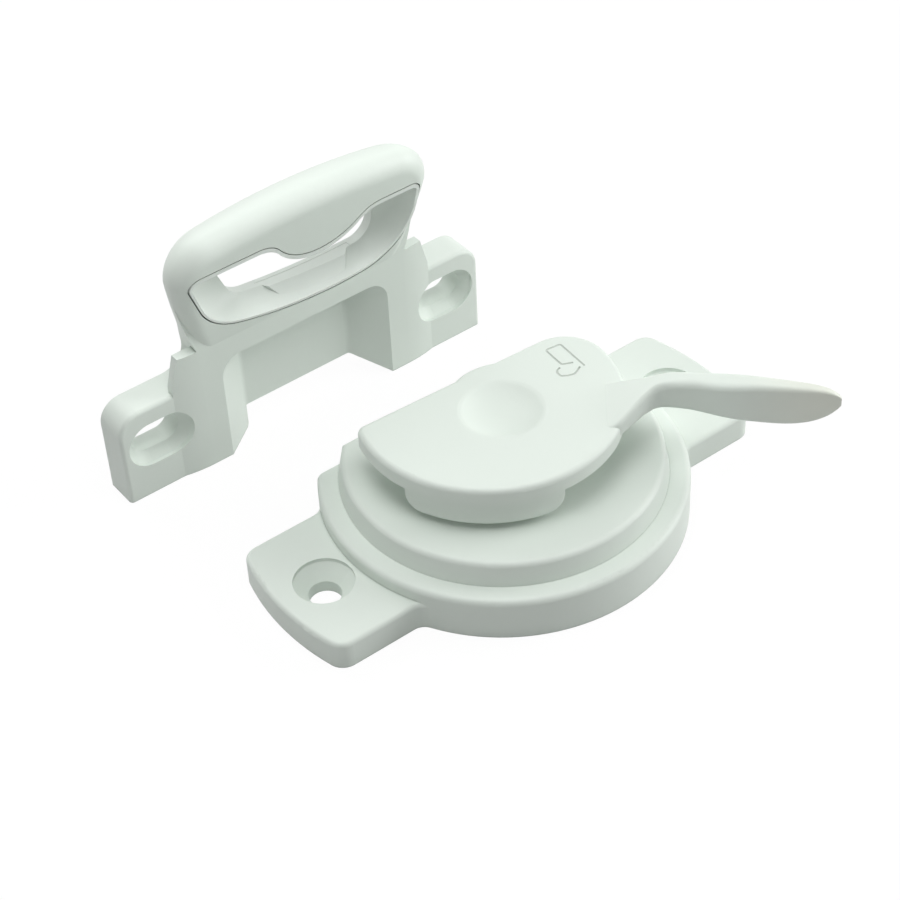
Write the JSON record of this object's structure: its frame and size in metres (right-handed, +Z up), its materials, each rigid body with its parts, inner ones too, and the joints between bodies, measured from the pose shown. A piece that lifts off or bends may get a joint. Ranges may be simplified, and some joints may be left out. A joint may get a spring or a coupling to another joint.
{
  "type": "swivel sash lock",
  "caption": "Surface-mounted window sash lock: a lever turns a hooked cam plate on a round two-tier base, with a separate keeper whose lined mouth takes the cam.",
  "frame": {"origin": "on the lock's pivot axis, at the underside of its base, midway between its two screw holes", "axes": "+X along the line of the base's screw holes, to the right as seen from the room; +Y towards the keeper; +Z up out of the sash rail, along the pivot axis"},
  "size_m": [0.0821, 0.0699, 0.0438],
  "materials": {
    "enamel": "satin off-white powder coat over die-cast zinc",
    "nylon": "plain moulded nylon, off-white",
    "steel": "plain zinc-plated steel"
  },
  "bodies": {
    "root": {"base_casting": "enamel", "thrust_washer": "nylon", "friction_spring": "steel", "keeper_body": "enamel", "keeper_liner": "nylon"},
    "cam": {"cam_lever": "enamel", "pivot_pin": "steel", "retaining_washer": "steel"}
  },
  "joints": [
    {"name": "lever_swivel", "type": "hinge", "parent": "root", "child": "cam", "pos_m": [0, 0, 0], "axis": [0, 0, 1], "range_deg": [-135, 0]}
  ]
}
